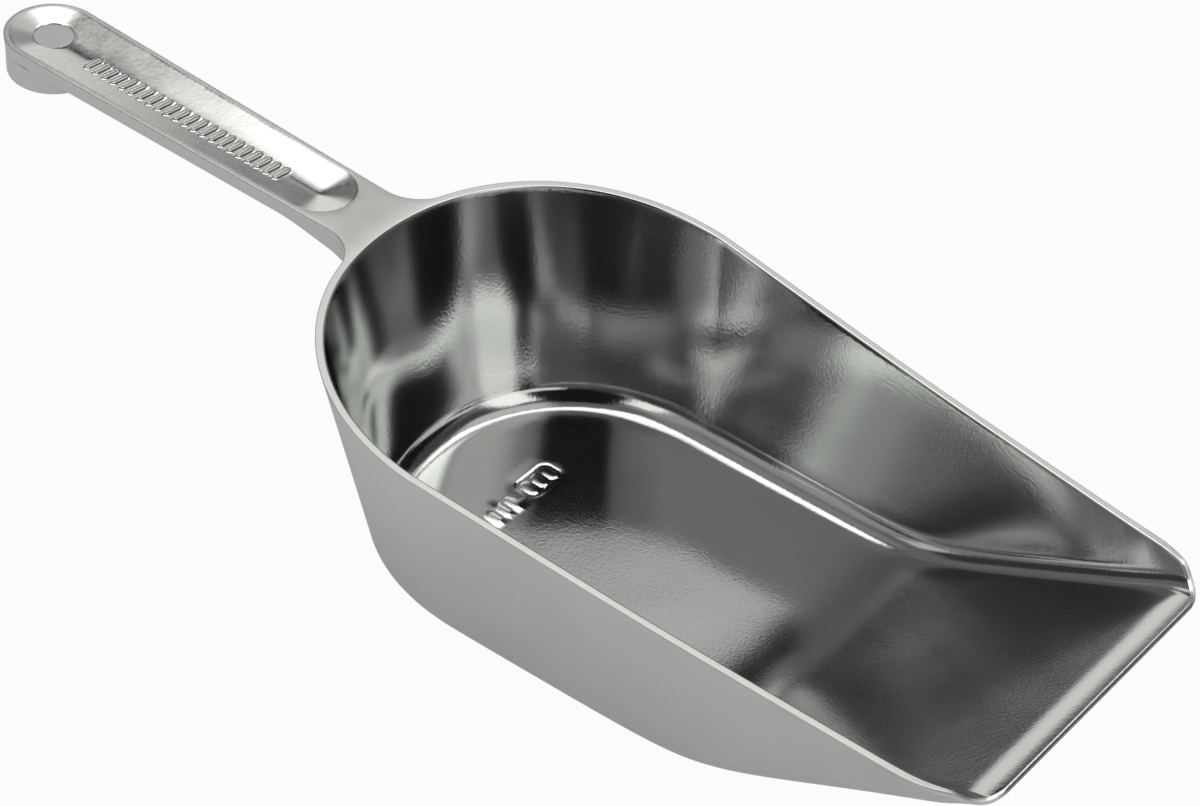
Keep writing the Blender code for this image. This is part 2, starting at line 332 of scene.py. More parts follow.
def bend(a, c, b, steps=NE):
    """Rounded corner from a over c to b, both ends included."""
    pts = []
    for i in range(steps + 1):
        t = i / steps
        pts.append(a * (1 - t) ** 2 + c * (2 * t * (1 - t)) + b * t ** 2)
    return pts


def toward(a, b, d):
    v = b - a
    length = v.length
    return a + v * (min(d, 0.45 * length) / length if length > 1e-9 else 0)


def spread(end):
    """Profile parameters for the skin from the floor centre up to end."""
    flat = min(1.0, end)
    out = [flat * i / NF for i in range(NF)]
    if end <= 1:
        return out + [end] * (NA + NW + 1)
    knee = min(2.0, 1 + (end - 1) * 0.7)
    out += [1 + (knee - 1) * i / NA for i in range(NA)]
    for i in range(NW + 1):
        t = i / NW
        t = 0.5 * t + 0.5 * (1 - (1 - t) ** 2)
        out.append(knee + (end - knee) * t)
    return out


def to3(p, z):
    return Vector((p.x, p.y, z))


def side_chain(row, inner_end, start, c_in, c_out, c_low, end):
    """Edge points between the last inner and first outer skin vertex."""
    a = bend(start, c_in, toward(c_in, c_out, R_IN))
    b = bend(toward(c_out, c_in, R_OUT), c_out, toward(c_out, c_low, R_OUT))
    c = bend(toward(c_low, c_out, R_LOW * 0.8), c_low, end)
    land = [lerp(a[-1], b[0], t) for t in (0.12, 0.5, 0.88)]
    down = [lerp(b[-1], c[0], t) for t in (0.2, 0.8)]
    return a, land, b, down, c


def build_row(u):
    """Whole section of the bowl for u in [-1, CORNER]."""
    row = make_row(u)
    s_in = cut(row, inner, lambda p: p.z - top_height(p.x))
    c_in = inner(row, s_in)
    back = inner(row, s_in - 0.01)
    start = c_in + (back - c_in).normalized() * R_IN
    # find the parameter of the start point
    s_start = cut(row, inner, lambda p: p.z - start.z)
    skin_in = [inner(row, s) for s in spread(s_start)]
    s_out = cut(row, outer, lambda p: p.z - top_height(p.x))
    c_nat = outer(row, s_out)
    if u >= 0:
        c_out = Vector((c_nat.x, rim_side(c_nat.x) + 0.05 * MM, top_height(c_nat.x)))
    else:
        c_out = c_nat.copy()
    shift = c_out - c_nat
    s_low = cut(row, outer, lambda p: p.z - (c_out.z - 1.5 * MM))
    s_end = cut(row, outer, lambda p: p.z - (c_out.z - 1.9 * MM))

    def skin(s):
        w = max((s - 2) / (s_out - 2), 0) ** 2 if s_out > 2 else 0
        return outer(row, s) + shift * w

    skin_out = [skin(s) for s in spread(s_end)]
    chain = side_chain(row, None, skin_in[-1], c_in, c_out, skin(s_low), skin_out[-1])
    row.c_in, row.c_out, row.c_low = c_in, c_out, skin(s_low)
    row.skin_in, row.skin_out, row.chain = skin_in, skin_out, chain
    row.skin = skin
    row.s_out = s_out
    return row


def build_front_row(phi):
    """Section in the front corners, from phi 0 (side) to 90 degrees (lip)."""
    n = corner_normal(phi)
    half_lip = LIP_LAND
    x_in = CORNER_X + (LIP_X - half_lip - CORNER_X) * math.sin(phi)
    nose = smooth((phi - math.radians(55)) / math.radians(35))
    x_out = CORNER_X + (LIP_X - (0.30 + 0.50 * nose) * MM - CORNER_X) * math.sin(phi)
    row_in, row_out = make_row(0.9, x_in), make_row(0.9, x_out)
    width = lerp(2.0 * MM, LIP_LAND, smooth(math.sin(phi) * 1.15))
    edge = corner_outer(phi)
    limit = edge - n * width

    def inside_limit(p):
        # distance past the offset outline, by its y at this x
        ph = math.asin(min(max((p.x - CORNER_X) / (LIP_X - half_lip - CORNER_X), 0), 1))
        q = corner_outer(ph) - corner_normal(ph) * width
        return p.y - q.y

    s_plane = cut(row_in, inner, lambda p: p.z - top_height(p.x))
    s_lim = cut(row_in, inner, inside_limit, 0.0)
    s_in = min(s_plane, s_lim)
    c_in = inner(row_in, s_in)
    back = inner(row_in, s_in - 0.01)
    k = smooth(phi / (math.pi / 2) * 1.5 - 0.5)
    start = c_in + (back - c_in).normalized() * R_IN
    s_start = cut(row_in, inner, lambda p: p.y - start.y, 0.0)
    s_start = lerp(s_start, s_in, k)
    skin_in = [inner(row_in, s) for s in spread(s_start)]
    first = skin_in[-1]
    c_in = lerp(c_in, first + Vector((n.x, n.y, 0)) * R_IN, k)
    drop = (0.10 * k + 0.35 * nose) * MM
    c_out = to3(edge, min(c_in.z - drop, top_height(edge.x)))
    # outer skin up to the outline
    s_out = cut(row_out, outer, lambda p: max(p.y - (outline_y(p.x) - 0.05 * MM),
                                              p.z - (c_out.z - 0.9 * MM)), 0.0)
    s_end = cut(row_out, outer, lambda p: p.y - (edge.y - n.y * (R_LOW + 0.4 * MM * nose)), 0.0)
    skin_out = [outer(row_out, s) for s in spread(s_end)]
    last = skin_out[-1]
    low = outer(row_out, s_out)
    c_low = (Vector((edge.x, edge.y, min(low.z, c_out.z - lerp(0.7, 0.55, nose) * MM)))
             - Vector((n.x, n.y, 0)) * (0.08 + 0.37 * nose) * MM)
    chain = side_chain(row_in, None, first, c_in, c_out, c_low, last)
    row_in.skin_in, row_in.skin_out, row_in.chain = skin_in, skin_out, chain
    row_in.c_in, row_in.c_out, row_in.c_low = c_in, c_out, c_low
    return row_in


def flat_chain(chain):
    out = []
    for part in chain:
        out += part
    return out


# ------------------------------------------------------------ casting, y >= 0
bm = bmesh.new()
POLISHED, GROUND, OUTSIDE, DISH = 0, 1, 2, 3      # finishes of the casting


def face(verts, zone):
    f = bm.faces.new(verts)
    f.material_index = zone
    return f


def add_grid(rows, zone):
    """Quads between equal rows of points; shared points are merged later."""
    made = [[bm.verts.new(p) for p in r] for r in rows]
    for a, b in zip(made, made[1:]):
        for i in range(len(a) - 1):
            face((a[i], b[i], b[i + 1], a[i + 1]), zone)
    return made


def mirrored(points):
    return [Vector((p.x, -p.y, p.z)) for p in points]


# flare between rim and grip: circle tangent to both
taper = (END_HALF - NECK_HALF) / (-RIM_REACH - END_X)


def side_line(x):
    return NECK_HALF + taper * (-RIM_REACH - x)


def flare_at(u):
    row = build_row(u)
    e = 2e-3
    d = build_row(u + e).c_out - build_row(u - e).c_out
    nrm = Vector((-d.y, d.x)).normalized()
    if nrm.dot(Vector((row.c_out.x, row.c_out.y))) < 0:
        nrm = -nrm
    c = Vector((row.c_out.x, row.c_out.y)) + nrm * FLARE_R
    miss = (c.y - side_line(c.x)) / math.hypot(1, taper) - FLARE_R
    return miss, c, nrm


low_u, high_u = -0.95, -0.5
for _ in range(22):
    mid = (low_u + high_u) / 2
    if flare_at(mid)[0] > 0:
        high_u = mid
    else:
        low_u = mid
FLARE_U = (low_u + high_u) / 2
_, flare_centre, flare_normal = flare_at(FLARE_U)

back_us = [FLARE_U * (1 - i / 46) for i in range(46)] + [0.0]
neck_us = [-1 + (FLARE_U + 1) * i / 22 for i in range(22)] + [FLARE_U]
side_us = []
x = FLOOR_CX
while x < CORNER_X - 0.6 * MM:
    x += 1.15 * MM
    side_us.append((min(x, CORNER_X) - FLOOR_CX) / (LIP_X - FLOOR_CX))
side_us[-1] = (CORNER_X - FLOOR_CX - 0.4 * MM) / (LIP_X - FLOOR_CX)
back_rows = [build_row(u) for u in back_us]
neck_rows = [build_row(u) for u in neck_us]
side_rows = [build_row(u) for u in side_us]
NPHI = 30
front_rows = [build_front_row(math.pi / 2 * (i / NPHI)) for i in range(1, NPHI + 1)]

# skins: the floor inside the round back is filled separately
side_all = [back_rows[-1]] + side_rows + front_rows
add_grid([r.skin_in for r in side_all], POLISHED)
add_grid([r.skin_out for r in side_all], OUTSIDE)
for group in (side_all, back_rows):
    add_grid([r.chain[0] for r in group], POLISHED)
    add_grid([r.chain[0][-1:] + flat_chain(r.chain[1:]) for r in group], GROUND)
add_grid([r.skin_in[NF:] for r in back_rows], POLISHED)
add_grid([r.skin_out[NF:] for r in back_rows], OUTSIDE)
add_grid([r.skin_in[NF:] for r in neck_rows], POLISHED)
add_grid([r.chain[0] for r in neck_rows], POLISHED)

# lip: from the last inner row over the nose to the last outer row
last = front_rows[-1]
lip_chains = []
for top, low in zip(last.skin_in, last.skin_out):
    if top is last.skin_in[-1]:
        lip_chains.append(flat_chain(last.chain))
        continue
    c_in = top + Vector((R_IN, 0, 0))
    c_out = Vector((LIP_X, top.y, c_in.z - (last.c_in.z - last.c_out.z)))
    c_low = Vector((LIP_X - 0.45 * MM, top.y, min(low.z, c_out.z - 0.55 * MM)))
    lip_chains.append(flat_chain(side_chain(None, None, top, c_in, c_out, c_low, low)))
add_grid([c[:NE + 1] for c in lip_chains], POLISHED)
add_grid([c[NE:] for c in lip_chains], GROUND)

# ------------------------------------------------- grip outline and side strip
start_angle = math.atan2(-flare_normal.y, -flare_normal.x) % math.tau
stop_angle = math.atan2(-1, -taper) % math.tau
outline = []                      # (plan point, outward normal, share along)
NFL = 26
for i in range(NFL + 1):
    a = start_angle + (stop_angle - start_angle) * i / NFL
    c = Vector((math.cos(a), math.sin(a)))
    outline.append((flare_centre + c * FLARE_R, -c, i / NFL))
side_start = outline[-1][0]
tangent = math.atan2(1, taper)    # direction of the grip side's outward normal
side_stop = Vector((END_X, 0)) + Vector((math.cos(tangent), math.sin(tangent))) * END_HALF
n_side = Vector((math.cos(tangent), math.sin(tangent)))
NSD = 60
for i in range(1, NSD + 1):
    outline.append((lerp(side_start, side_stop, i / NSD), n_side, 1 + i / NSD))
NEN = 30
for i in range(1, NEN + 1):
    a = tangent + (math.pi - tangent) * i / NEN
    c = Vector((math.cos(a), math.sin(a)))
    outline.append((Vector((END_X, 0)) + c * END_HALF, c, 2 + i / NEN))

flare_row = neck_rows[-1]
lean0 = Vector((flare_row.c_out.x - flare_row.c_low.x, flare_row.c_out.y - flare_row.c_low.y)).length
wall_dir = (flare_row.chain[4][-1] - flare_row.c_low).normalized()
strip, land_edge, under_edge = [], [], []
for k, (p, n, share) in enumerate(outline):
    c_out = to3(p, top_height(p.x))
    if k == 0:
        strip.append(flare_row.chain[2] + flare_row.chain[3] + flare_row.chain[4])
        land_edge.append(flare_row.chain[2][0])
        under_edge.append(flare_row.chain[4][-1])
        continue
    w = smooth(min(share, 1) / 0.7)
    depth = lerp(1.5 * MM, under_depth(p.x) * 1.0, smooth(share / 0.8)) if share < 1 else under_depth(p.x)
    n3 = Vector((n.x, n.y, 0))
    draft = 0.06
    c_low = c_out - n3 * lerp(lean0, draft * depth, w)
    c_low.z = c_out.z - depth
    inward = -n3
    along = lerp(wall_dir, inward, w).normalized()
    radius = lerp(0.4 * MM, 0.55 * MM, w)
    if share > 2:
        radius = lerp(0.55 * MM, 0.06 * MM, smooth((share - 2) / 0.25))
    end = c_low + along * radius
    start = c_out - n3 * R_OUT
    start.z = top_height(start.x)
    b = bend(start, c_out, c_out + (c_low - c_out).normalized() * R_OUT)
    c = bend(c_low + (c_out - c_low).normalized() * radius, c_low, end)
    down = [lerp(b[-1], c[0], t) for t in (0.2, 0.8)]
    strip.append(b + down + c)
    land_edge.append(b[0])
    under_edge.append(end)
add_grid([r[:NE + 2] for r in strip], GROUND)
add_grid([r[NE + 1:] for r in strip], OUTSIDE)

# ------------------------------ outer wall under the neck, with its fillet
top_gap = []
for i, row in enumerate(neck_rows):
    t = 1 - i / (len(neck_rows) - 1)          # 0 at the flare, 1 at the centre
    g = smooth(t * 1.25)
    radius = 3.0 * MM * g
    depth = lerp(1.9 * MM, (GRIP_DEPTH + NECK_EXTRA), g)
    if i == len(neck_rows) - 1:
        point = row.skin_out[-1]
        top_gap.append(([point] * 7, row.skin_out[NF:]))
        continue
    s_k = cut(row, outer, lambda p: p.z - (top_height(p.x) - depth))
    s_w = cut(row, outer, lambda p: p.z - (top_height(p.x) - depth - radius))
    corner = row.skin(s_k)
    wall = row.skin(s_w)
    out = corner + Vector((row.rn.x, row.rn.y, 0)) * radius
    out.z = top_height(out.x) - depth
    skin = [row.skin(s) for s in spread(s_w)][NF:]
    skin[-1] = wall
    top_gap.append((bend(wall, corner, out, 6), skin))
add_grid([skin for _, skin in top_gap], OUTSIDE)
add_grid([f for f, _ in top_gap], OUTSIDE)
junction = [f[-1] for f, _ in top_gap]

# mirror everything so far to y < 0
half = list(bm.faces)
copies = {}
for v in list(bm.verts):
    copies[v] = bm.verts.new((v.co.x, -v.co.y, v.co.z))
for f in half:
    face([copies[v] for v in reversed(f.verts)], f.material_index)


# ------------------------------------------------------- filled height fields
def inside(polygon, pts):
    """Even-odd test of points (n,2) in a polygon (m,2)."""
    px, py = pts[:, 0], pts[:, 1]
    hit = np.zeros(len(pts), bool)
    n = len(polygon)
    for i in range(n):
        x1, y1 = polygon[i]
        x2, y2 = polygon[(i + 1) % n]
        if y1 == y2:
            continue
        cross = ((y1 > py) != (y2 > py)) & (px < (x2 - x1) * (py - y1) / (y2 - y1) + x1)
        hit ^= cross
    return hit


def distance(polygon, pts):
    best = np.full(len(pts), 1e9)
    n = len(polygon)
    for i in range(n):
        a, b = np.array(polygon[i]), np.array(polygon[(i + 1) % n])
        ab = b - a
        t = np.clip(((pts - a) @ ab) / max(ab @ ab, 1e-18), 0, 1)
        d = np.linalg.norm(pts - (a + t[:, None] * ab), axis=1)
        best = np.minimum(best, d)
    return best


def fill(border, holes, height, step, zone, relax=False, rings=()):
    """Triangulated surface inside border, around holes, over a point grid.
    rings are extra closed loops that edges follow."""
    loops = [border] + list(holes) + list(rings)
    coords, edges = [], []
    for loop in loops:
        first = len(coords)
        coords += [(p.x, p.y) for p in loop]
        n = len(loop)
        edges += [(first + i, first + (i + 1) % n) for i in range(n)]
    fixed = len(coords)
    flat = [[(p.x, p.y) for p in loop] for loop in loops]
    xs = [c[0] for c in flat[0]]
    ys = [c[1] for c in flat[0]]
    gx = np.arange(min(xs), max(xs), step)
    gy = np.arange(-math.ceil(max(map(abs, ys)) / step), math.ceil(max(map(abs, ys)) / step) + 1) * step
    grid = []
    for i, x in enumerate(gx):
        off = 0.5 * step if i % 2 else 0.0
        for y in gy:
            grid.append((x, y + off))
    grid = np.array(grid)
    ok = inside(flat[0], grid)
    grid = grid[ok]
    for h in flat[1:1 + len(holes)]:
        grid = grid[~inside(h, grid)]
    for loop in flat:
        near = distance(loop, grid)
        grid = grid[near > 0.45 * step]
    coords += [tuple(g) for g in grid]
    scale = 1000.0
    out = delaunay_2d_cdt([Vector((c[0] * scale, c[1] * scale)) for c in coords], edges, [], 0, 1e-7, True)
    vs, _, tris, orig = out[0], out[1], out[2], out[3]
    points = []
    flat_points = [p for loop in loops for p in loop]
    free = []
    for i, v in enumerate(vs):
        source = orig[i]
        if source and min(source) < fixed:
            points.append(flat_points[min(source)].copy())
        else:
            x, y = v.x / scale, v.y / scale
            points.append(Vector((x, y, height(x, y))))
            free.append(i)
    centres = np.array([[sum(vs[i].x for i in t) / len(t) / scale, sum(vs[i].y for i in t) / len(t) / scale] for t in tris])
    good = inside(flat[0], centres)
    for h in flat[1:1 + len(holes)]:
        good &= ~inside(h, centres)
    tris = [t for t, g in zip(tris, good) if g]
    if relax:
        links = {i: set() for i in range(len(points))}
        for t in tris:
            for i in range(len(t)):
                links[t[i]].update((t[i - 1], t[(i + 1) % len(t)]))
        z = np.array([p.z for p in points])
        order = [i for i in free if links[i]]
        for _ in range(260):
            for i in order:
                z[i] = sum(z[j] for j in links[i]) / len(links[i])
        for i in order:
            points[i].z = float(z[i])
    verts = {}
    for t in tris:
        loop = []
        for i in t:
            if i not in verts:
                verts[i] = bm.verts.new(points[i])
            loop.append(verts[i])
        face(loop, zone)


def cap(loop, zone):
    """Closes a loop that is symmetric about its long axis with quads."""
    vs = [bm.verts.new(p) for p in loop]
    n = len(vs)
    i, j = 0, n - 1
    while j - i > 2:
        face((vs[i], vs[i + 1], vs[j - 1], vs[j]), zone)
        i, j = i + 1, j - 1
    if j - i == 2:
        face((vs[i], vs[i + 1], vs[j]), zone)


def capsule(cx, cy, half_x, half_y, inset, steps=7):
    """Capsule outline along the longer side, as plan points."""
    a, b = half_x - inset, half_y - inset
    pts = []
    if b >= a:
        for sx, base in ((1, 0),):
            for i in range(steps + 1):
                t = math.pi * i / steps
                pts.append((cx + a * math.cos(t), cy + (b - a) + a * math.sin(t)))
            for i in range(steps + 1):
                t = math.pi * (1 + i / steps)
                pts.append((cx + a * math.cos(t), cy - (b - a) + a * math.sin(t)))
        # start halfway, so that pairs lie across the long axis
        k = (steps + 1) // 2
        pts = pts[k:] + pts[:k]
    else:
        for i in range(steps + 1):
            t = -math.pi / 2 + math.pi * i / steps
            pts.append((cx + (a - b) + b * math.cos(t), cy + b * math.sin(t)))
        for i in range(steps + 1):
            t = math.pi / 2 + math.pi * i / steps
            pts.append((cx - (a - b) + b * math.cos(t), cy + b * math.sin(t)))
        k = (steps + 1) // 2
        pts = pts[k:] + pts[:k]
    return pts


def raised(loops, zone):
    """Ring strips between plan loops with heights, closed on top."""
    rings = [loop + [loop[0]] for loop in loops]
    add_grid(rings, zone)
    cap(loops[-1], zone)


# dish ----------------------------------------------------------------------
def dish_radius(x):
    t = min(max((x - END_X) / (DISH_X - END_X), 0), 1)
    return lerp(DISH_R1, DISH_R0, t)


def dish_rho(x, y):
    """0 on the valley line, 1 on the edge of the dish."""
    if x > DISH_X:
        return math.hypot(x - DISH_X, y) / DISH_R0
    if x < END_X:
        return math.hypot(x - END_X, y) / DISH_R1
    return abs(y) / dish_radius(x)


def dish_height(x, y):
    rho = dish_rho(x, y)
    e = 0.13
    f = (math.sqrt(rho * rho + e * e) - e) / (math.sqrt(1 + e * e) - e)
    f = min(f, 1.0)
    return top_height(x) - DISH_DEPTH * (1 - f)


def dish_loop(scale, steps=26, straight=58):
    pts = []
    for i in range(steps):
        a = math.radians(90 - 180 * i / steps)
        pts.append((DISH_X + DISH_R0 * scale * math.cos(a), DISH_R0 * scale * math.sin(a)))
    for i in range(straight):
        t = i / straight
        wide = lerp(DISH_R0, DISH_R1, t) + 0.03 * MM * math.sin(math.pi * t)
        pts.append((lerp(DISH_X, END_X, t), -wide * scale))
    for i in range(steps):
        a = math.radians(270 - 180 * i / steps)
        pts.append((END_X + DISH_R1 * scale * math.cos(a), DISH_R1 * scale * math.sin(a)))
    for i in range(straight):
        t = 1 - i / straight
        wide = lerp(DISH_R0, DISH_R1, t) + 0.03 * MM * math.sin(math.pi * t)
        pts.append((lerp(DISH_X, END_X, t), wide * scale))
    return pts


def lifted(points, height, extra=0.0):
    return [Vector((x, y, height(x, y) + extra)) for x, y in points]


edge_out = lifted(dish_loop(1.008), lambda x, y: top_height(x))
edge_mid = [Vector((x, y, top_height(x) - 0.012 * MM)) for x, y in dish_loop(1.0)]
edge_in = lifted(dish_loop(0.988), dish_height)
add_grid([edge_out + edge_out[:1], edge_mid + edge_mid[:1], edge_in + edge_in[:1]], GROUND)

border = [Vector((p.x, p.y, p.z)) for p in land_edge]
arc = [r.chain[0][-1] for r in neck_rows]                 # back centre to flare
link_land = flare_row.chain[1]                            # across the rim land
land_half = arc + list(link_land) + border                # y >= 0, from the back centre
land_loop = land_half + mirrored(land_half[1:-1])[::-1]
fill(land_loop, [edge_out], lambda x, y: top_height(x), 1.7 * MM, GROUND)

# pad recess and raised ticks inside the dish
circle = [(END_X + math.cos(2 * math.pi * i / 64), math.sin(2 * math.pi * i / 64)) for i in range(64)]


def ring_at(radius):
    return [(END_X + radius * math.cos(2 * math.pi * (i + 0.5) / 64),
             radius * math.sin(2 * math.pi * (i + 0.5) / 64)) for i in range(64)]


rec0 = lifted(ring_at(PAD_R + 0.10 * MM), dish_height)
rec1 = lifted(ring_at(PAD_R + 0.02 * MM), dish_height, -0.03 * MM)
rec2 = [Vector((x, y, top_height(x) - PAD_DROP - 0.62 * MM)) for x, y in ring_at(PAD_R)]
add_grid([rec0 + rec0[:1], rec1 + rec1[:1], rec2 + rec2[:1]], DISH)
face([bm.verts.new(p) for p in rec2], DISH)

ticks = []
TICKS = 22
for i in range(TICKS):
    cx = lerp(-87 * MM, -148 * MM, i / (TICKS - 1))
    base = lifted(capsule(cx, -1.4 * MM, 0.80 * MM, 2.75 * MM, 0), dish_height)
    mid = lifted(capsule(cx, -1.4 * MM, 0.80 * MM, 2.75 * MM, 0.10 * MM), dish_height, 0.30 * MM)
    top = lifted(capsule(cx, -1.4 * MM, 0.80 * MM, 2.75 * MM, 0.26 * MM), dish_height, 0.38 * MM)
    raised([base, mid, top], DISH)
    ticks.append(base)
fill(edge_in, [rec0] + ticks, dish_height, 0.72 * MM, DISH)

# underside of the grip
under_half = [Vector(p) for p in under_edge]
under_loop = under_half + mirrored(under_half[:-1])[::-1]
junction_half = junction[:-1]                             # back centre to flare, without it
inner_side = mirrored(junction_half)[::-1]                # flare' to centre at y < 0
under_loop = under_loop + [Vector(p) for p in inner_side[:-1]] + [Vector(p) for p in junction_half]
fill(under_loop, [], lambda x, y: top_height(x) - under_depth(x), 1.6 * MM, OUTSIDE, relax=True)

# ------------------------------------------------------- floor of the bowl
tangent_loop = [r.skin_in[NF] for r in neck_rows] + [r.skin_in[NF] for r in back_rows[1:]]
front_line = [p for p in reversed(back_rows[-1].skin_in[:NF])]
floor_half = tangent_loop + front_line                     # back centre ... side ... centre line
floor_loop = floor_half + mirrored(floor_half[1:-1])[::-1]

MARK_X = -12.6 * MM
pocket_y, pocket_hx, pocket_hy = 6.9 * MM, 3.9 * MM, 6.4 * MM


def rounded_box(cx, cy, hx, hy, radius, inset, steps=8):
    a, b, r = hx - inset, hy - inset, max(radius - inset, 0.05 * MM)
    pts = []
    for sx, sy, start in ((1, 1, 0), (-1, 1, 90), (-1, -1, 180), (1, -1, 270)):
        for i in range(steps + 1):
            t = math.radians(start + 90 * i / steps)
            pts.append((cx + sx * (a - r) + r * math.cos(t), cy + sy * (b - r) + r * math.sin(t)))
    return pts


def flat_at(points, z):
    return [Vector((x, y, z)) for x, y in points]


Z0 = WALL
POCKET = 0.14 * MM
p0 = flat_at(rounded_box(MARK_X, pocket_y, pocket_hx, pocket_hy, 2.6 * MM, -0.10 * MM), Z0)
p1 = flat_at(rounded_box(MARK_X, pocket_y, pocket_hx, pocket_hy, 2.6 * MM, 0.02 * MM), Z0 - 0.03 * MM)
p2 = flat_at(rounded_box(MARK_X, pocket_y, pocket_hx, pocket_hy, 2.6 * MM, 0.18 * MM), Z0 - POCKET)
add_grid([p0 + p0[:1], p1 + p1[:1], p2 + p2[:1]], POLISHED)
dots = []
for k in (-1, 0, 1):
    cy = pocket_y + k * 3.75 * MM
    levels = ((0, -POCKET), (0.16 * MM, -0.02 * MM), (0.36 * MM, 0.02 * MM))
    loops = [flat_at(capsule(MARK_X, cy, 2.35 * MM, 1.25 * MM, ins), Z0 + h) for ins, h in levels]
    raised(loops, POLISHED)
    dots.append(loops[0])
fill(p2, dots, lambda x, y: Z0 - POCKET, 1.2 * MM, POLISHED)
bars = []
for k in (-1, 0, 1):
    cy = -7.2 * MM + k * 3.4 * MM
    levels = ((0, 0), (0.14 * MM, 0.10 * MM), (0.32 * MM, 0.14 * MM))
    loops = [flat_at(capsule(MARK_X + 0.4 * MM, cy, 2.1 * MM, 0.62 * MM, ins), Z0 + h) for ins, h in levels]
    raised(loops, POLISHED)
    bars.append(loops[0])
fill(floor_loop, [p0] + bars, lambda x, y: Z0, 2.4 * MM, POLISHED)

# flat underside of the round back
sole_half = [r.skin_out[NF] for r in neck_rows] + [r.skin_out[NF] for r in back_rows[1:]]
sole_half += [p for p in reversed(back_rows[-1].skin_out[:NF])]
sole_loop = sole_half + mirrored(sole_half[1:-1])[::-1]
fill(sole_loop, [], lambda x, y: 0.0, 4.0 * MM, OUTSIDE)

bmesh.ops.remove_doubles(bm, verts=bm.verts, dist=2e-6)
bmesh.ops.dissolve_degenerate(bm, edges=bm.edges, dist=1e-7)
bmesh.ops.recalc_face_normals(bm, faces=bm.faces)
open_edges = [e for e in bm.edges if len(e.link_faces) != 2]
print("casting:", len(bm.verts), "vertices", len(bm.faces), "faces", len(open_edges), "open edges")
for e in open_edges[:12]:
    print("  open", [round(c * 1000, 3) for c in e.verts[0].co], [round(c * 1000, 3) for c in e.verts[1].co])

mesh = bpy.data.meshes.new("scoop_casting")
bm.to_mesh(mesh)
bm.free()
casting = bpy.data.objects.new("scoop_casting", mesh)
bpy.context.scene.collection.objects.link(casting)
mesh.shade_smooth()

# ------------------------------------------------------------------- end boss
def ring_rows(rows, zone_material, name, centre, tilt):
    """A turned piece from rings [(radius, height)], closed at both ends."""
    b = bmesh.new()
    count = 96
    made = []
    for radius, z in rows:
        made.append([b.verts.new((centre.x + radius(2 * math.pi * i / count) * math.cos(2 * math.pi * i / count),
                                  radius(2 * math.pi * i / count) * math.sin(2 * math.pi * i / count),
                                  z(2 * math.pi * i / count))) for i in range(count)])
    for lo, hi in zip(made, made[1:]):
        for i in range(count):
            j = (i + 1) % count
            b.faces.new((lo[i], lo[j], hi[j], hi[i]))
    for ring in (made[0], made[-1]):
        mid = b.verts.new((centre.x, 0, sum(v.co.z for v in ring) / count))
        for i in range(count):
            b.faces.new((ring[i], ring[(i + 1) % count], mid))
    bmesh.ops.recalc_face_normals(b, faces=b.faces)
    data = bpy.data.meshes.new(name)
    b.to_mesh(data)
    b.free()
    data.shade_smooth()
    obj = bpy.data.objects.new(name, data)
    bpy.context.scene.collection.objects.link(obj)
    return obj


BOSS_R = END_HALF - 0.06 * MM * 4
boss_bottom = boss_low.z
rings = []


def boss_ring(radius, z, slope=1.0, bulge=0.0):
    """bulge widens the side towards the bowl only, as a cast fillet."""
    def r(a):
        front = max(math.cos(a), 0) ** 0.7
        return radius + bulge * front
    def h(a):
        x = END_X + r(a) * math.cos(a)
        return z if slope == 0 else top_height(x) - GRIP_DEPTH + z
    return r, h


for k in range(1, 5):
    rings.append(boss_ring((BOSS_R - 1.1 * MM) * k / 4, boss_bottom, 0))
for k in range(1, 9):
    a = math.radians(90 * k / 8)
    rings.append(boss_ring(BOSS_R - 1.1 * MM * (1 - math.sin(a)), boss_bottom + 1.1 * MM * (1 - math.cos(a)), 0))
for k in range(1, 5):
    rings.append(boss_ring(BOSS_R, boss_bottom + 1.1 * MM + 0.6 * MM * k, 0))
for z, bulge in ((-1.2, 0.0), (-0.85, 0.06), (-0.5, 0.22), (-0.22, 0.5), (0.0, 0.85), (0.25, 0.85)):
    rings.append(boss_ring(BOSS_R, z * MM, 1.0, bulge * MM))
boss = ring_rows(rings, 0, "end_boss_casting", Vector((END_X, 0)), 0)

# ------------------------------------------------------- ground pad in the dish
pad_top = PAD_DROP
prs = []
for k in range(1, 6):
    prs.append((PAD_R * 0.96 * k / 6, 0.0))
prs += [(PAD_R - 0.18 * MM, 0.0), (PAD_R - 0.10 * MM, -0.012 * MM), (PAD_R - 0.055 * MM, -0.05 * MM),
        (PAD_R - 0.04 * MM, -0.12 * MM), (PAD_R - 0.04 * MM, -0.55 * MM)]


def pad_ring(radius, drop):
    def r(a):
        return radius
    def h(a):
        return top_height(END_X + radius * math.cos(a)) - PAD_DROP + drop
    return r, h


pad = ring_rows([pad_ring(r, d) for r, d in prs], 0, "end_pad_disc", Vector((END_X, 0)), 0)


